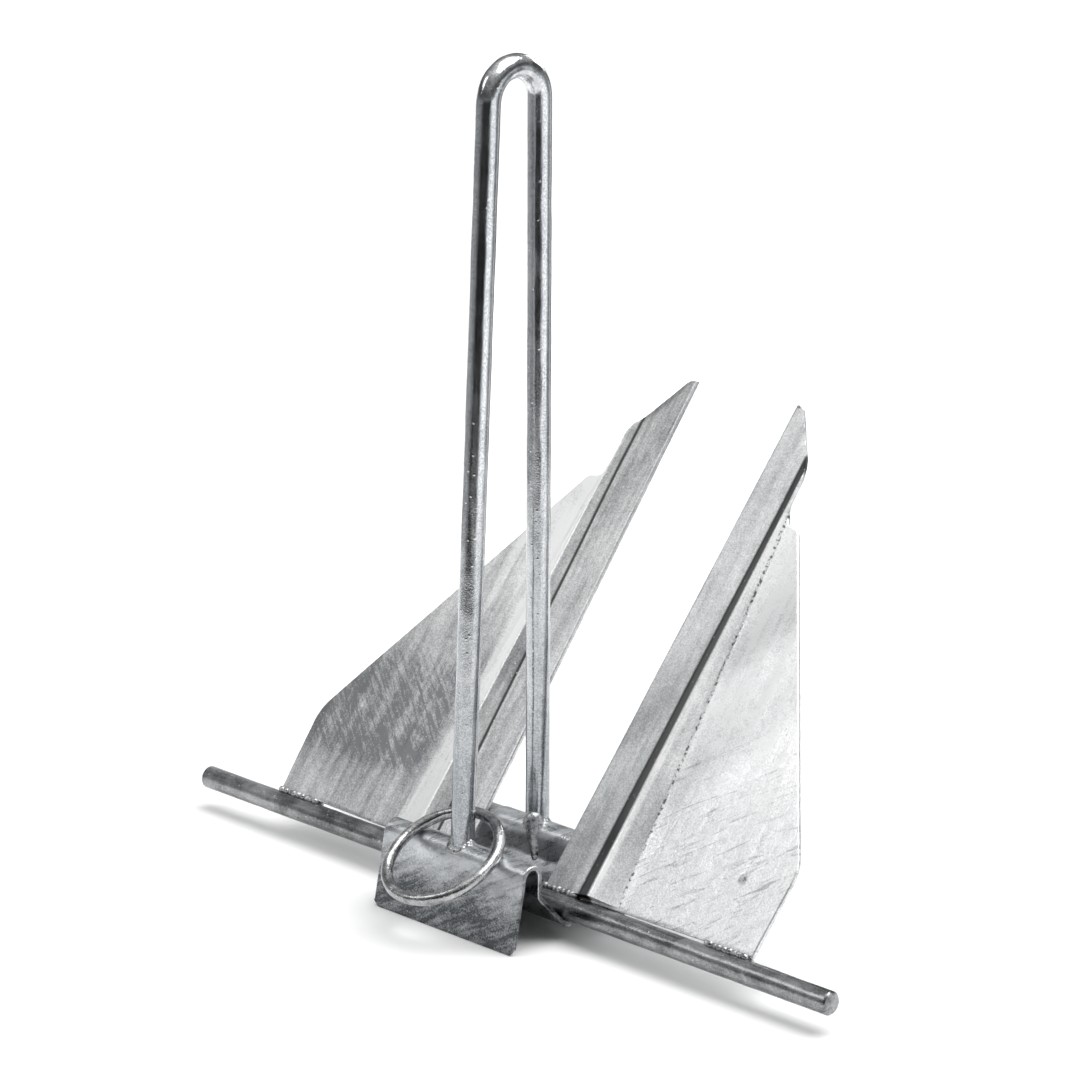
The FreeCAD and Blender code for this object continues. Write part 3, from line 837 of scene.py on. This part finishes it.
# brightness of the cards, from -180 degrees (0) anticlockwise round to 180 (1)
CARDS = ((0.0, 0.22), (0.10, 0.26), (0.19, 0.20), (0.25, 0.02), (0.41, 0.01), (0.47, 0.85),
         (0.56, 0.90), (0.62, 0.22), (0.66, 0.16), (0.73, 0.50), (0.80, 0.03), (0.87, 0.18),
         (1.0, 0.22))


def add_cards():
    """Light and dark cards round the floor that only the metal's mirrored light sees."""
    wall = round_wall("cards", 0.95, 0.55)
    wall.visible_camera = wall.visible_diffuse = wall.visible_shadow = False
    n = Nodes("cards")
    at = n.split(n.add("ShaderNodeTexCoord").outputs["Object"])
    around = n.band(n.math("ARCTAN2", at[1], at[0]), -pi, pi, smooth=False)
    ramp = n.add("ShaderNodeValToRGB", {"Fac": around})
    stops = ramp.color_ramp.elements
    for place, level in CARDS:
        stops.new(place).color = (level * 0.96, level * 0.98, level, 1)
    stops.remove(stops[0])
    stops.remove(stops[-1])
    glow(wall, n, ramp.outputs[0], 1.6)


def add_world():
    """A dim studio, seen only as what the metal mirrors above the cards."""
    world = bpy.data.worlds.new("studio")
    world.use_nodes = True
    tree = world.node_tree
    back = next(n for n in tree.nodes if n.type == "BACKGROUND")
    toward = tree.nodes.new("ShaderNodeTexCoord")
    split = tree.nodes.new("ShaderNodeSeparateXYZ")
    ramp = tree.nodes.new("ShaderNodeValToRGB")
    tree.links.new(toward.outputs["Generated"], split.inputs[0])
    tree.links.new(split.outputs[2], ramp.inputs[0])
    tree.links.new(ramp.outputs[0], back.inputs["Color"])
    for place, level in ((0.02, 0.30), (0.10, 0.16), (0.30, 0.10), (0.5, 0.36), (0.66, 0.3)):
        ramp.color_ramp.elements.new(place).color = (level * 0.97, level * 0.99, level, 1)
    back.inputs["Strength"].default_value = 1.0
    bpy.context.scene.world = world


def add_camera():
    """A long lens from +X and -Y, slightly rolled; its offsets are from the stock's middle."""
    data = bpy.data.cameras.new("camera")
    data.lens, data.sensor_width = 150, 36
    data.clip_start, data.clip_end = 0.05, 100
    around, down, roll = radians(45.27), radians(15.23), radians(1.20)
    ahead = Vector((-sin(around) * cos(down), cos(around) * cos(down), -sin(down)))
    level = Vector((cos(around), sin(around), 0))
    above = level.cross(ahead)
    right = level * cos(roll) + above * sin(roll)
    up = above * cos(roll) - level * sin(roll)
    turn = Matrix((right, up, -ahead)).transposed()
    at = STOCK + (right * 26.87 + up * 226.13 - ahead * 2971.5) * MM
    camera = link_new("camera", data)
    camera.matrix_world = Matrix.Translation(at) @ turn.to_4x4()
    bpy.context.scene.camera = camera


add_floor()
add_world()
add_sun()
add_cards()
add_backdrop()
add_light("card", (-1.15, -1.35, 1.7), (0.12, 0, 0.12), (0.6, 0.9), 5.6)
add_light("back", (-0.6, 2.0, 1.1), (0, 0, 0.2), (1.2, 0.6), 14)
add_camera()
bpy.context.scene.view_settings.view_transform = "Standard"
